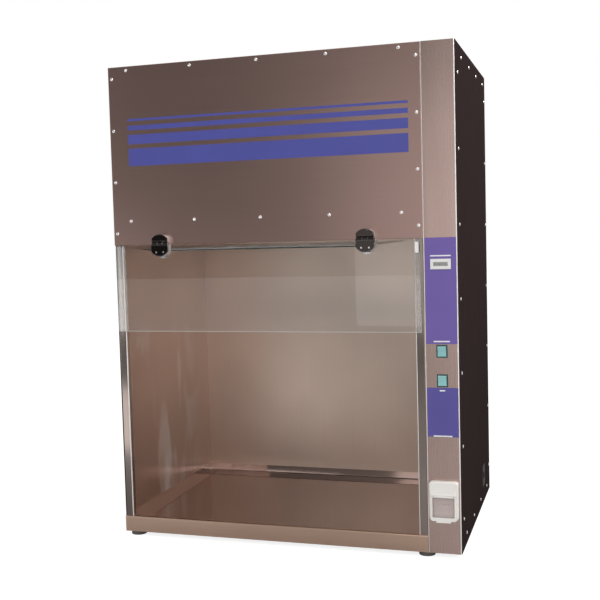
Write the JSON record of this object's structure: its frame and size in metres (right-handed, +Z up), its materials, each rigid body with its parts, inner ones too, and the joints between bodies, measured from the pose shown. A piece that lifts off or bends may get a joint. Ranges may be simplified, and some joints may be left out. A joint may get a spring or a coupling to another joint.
{
  "type": "chemical fume hood",
  "caption": "Benchtop ductless fume hood: steel cabinet with a top-hung glass sash, open work chamber, tray, and a control column on the right.",
  "frame": {"origin": "on the floor, under the centre of the whole footprint", "axes": "+Z up, +X to the user's right, -Y towards the user"},
  "size_m": [0.883, 0.6366, 1.2144],
  "materials": {
    "fascia_steel": "brushed stainless sheet",
    "column_steel": "brushed stainless sheet",
    "post_steel": "polished stainless sheet",
    "chamber_steel": "satin stainless sheet",
    "tray_steel": "polished stainless sheet",
    "plain_steel": "mill finish",
    "panel_paint": "dark satin paint",
    "rivet_steel": "bright",
    "rubber": "matt",
    "foot_rubber": "matt",
    "sash_glass": "clear, polished edges",
    "hinge_chrome": "polished",
    "white_plastic": "smooth moulded",
    "label_print": "printed film",
    "meter_plastic": "smooth moulded",
    "meter_display": "dark window",
    "switch_plastic": "smooth moulded",
    "rocker_lens": "translucent lens",
    "clear_plastic": "clear",
    "inlet_plastic": "moulded",
    "filter_frame": "moulded",
    "carbon": "granules in a tray",
    "filter_pad": "non-woven pad",
    "blower_steel": "galvanised sheet",
    "motor_paint": "painted",
    "lamp_paint": "white enamel",
    "lamp_glass": "coated tube",
    "terminal_plastic": "moulded"
  },
  "bodies": {
    "cabinet": {"ballast": "lamp_paint", "base_panel": "plain_steel", "blower_housing": "blower_steel", "carbon_bed": "carbon", "ceiling_panel": "chamber_steel", "control_column": "column_steel", "exhaust_grille": "column_steel", "fan_switch_frame": "switch_plastic", "fascia_gasket": "rubber", "fascia_panel": "fascia_steel", "fascia_rivets": "rivet_steel", "feet": "foot_rubber", "filter_frame": "filter_frame", "filter_gasket": "rubber", "fixed_leaves": "hinge_chrome", "hinge_pins": "rivet_steel", "hour_meter": "meter_plastic", "lamp_batten": "lamp_paint", "lamp_switch_frame": "switch_plastic", "lamp_tube": "lamp_glass", "lampholders": "white_plastic", "left_chamber_wall": "chamber_steel", "left_post": "post_steel", "left_side_panel": "panel_paint", "lid_pin": "rivet_steel", "lower_label": "label_print", "mains_inlet": "inlet_plastic", "meter_window": "meter_display", "motor": "motor_paint", "outlet_box": "white_plastic", "outlet_socket": "white_plastic", "prefilter_pad": "filter_pad", "rear_chamber_wall": "chamber_steel", "rear_panel": "panel_paint", "right_chamber_wall": "chamber_steel", "right_post": "post_steel", "right_side_panel": "panel_paint", "sash_contact": "white_plastic", "side_rivets": "rivet_steel", "terminal_block": "terminal_plastic", "top_panel": "column_steel", "tray_rails": "plain_steel", "upper_label": "label_print", "worktop_tray": "tray_steel"},
    "sash": {"sash_glass": "sash_glass", "sash_leaves": "hinge_chrome", "clamp_pads": "rubber", "clamp_plates": "hinge_chrome", "sash_magnet": "white_plastic"},
    "lid": {"outlet_lid": "white_plastic", "lid_window": "clear_plastic"},
    "fan_switch": {"fan_rocker": "rocker_lens"},
    "lamp_switch": {"lamp_rocker": "rocker_lens"},
    "impeller": {"blower_wheel": "blower_steel", "motor_shaft": "rivet_steel"}
  },
  "joints": [
    {"name": "sash_hinge", "type": "hinge", "parent": "cabinet", "child": "sash", "pos_m": [-0.04, -0.31125, 0.764], "axis": [-1, 0, 0], "range_deg": [0, 95]},
    {"name": "lid_hinge", "type": "hinge", "parent": "cabinet", "child": "lid", "pos_m": [0.4, -0.31565, 0.1576], "axis": [-1, 0, 0], "range_deg": [0, 110]},
    {"name": "fan_rocker_tilt", "type": "hinge", "parent": "cabinet", "child": "fan_switch", "pos_m": [0.4, -0.29675, 0.495], "axis": [-1, 0, 0], "range_deg": [0, 18]},
    {"name": "lamp_rocker_tilt", "type": "hinge", "parent": "cabinet", "child": "lamp_switch", "pos_m": [0.4, -0.29675, 0.4257], "axis": [-1, 0, 0], "range_deg": [0, 18]},
    {"name": "impeller_spin", "type": "hinge", "parent": "cabinet", "child": "impeller", "pos_m": [-0.04, 0.0129, 1.0595], "axis": [1, 0, 0], "continuous": true}
  ]
}
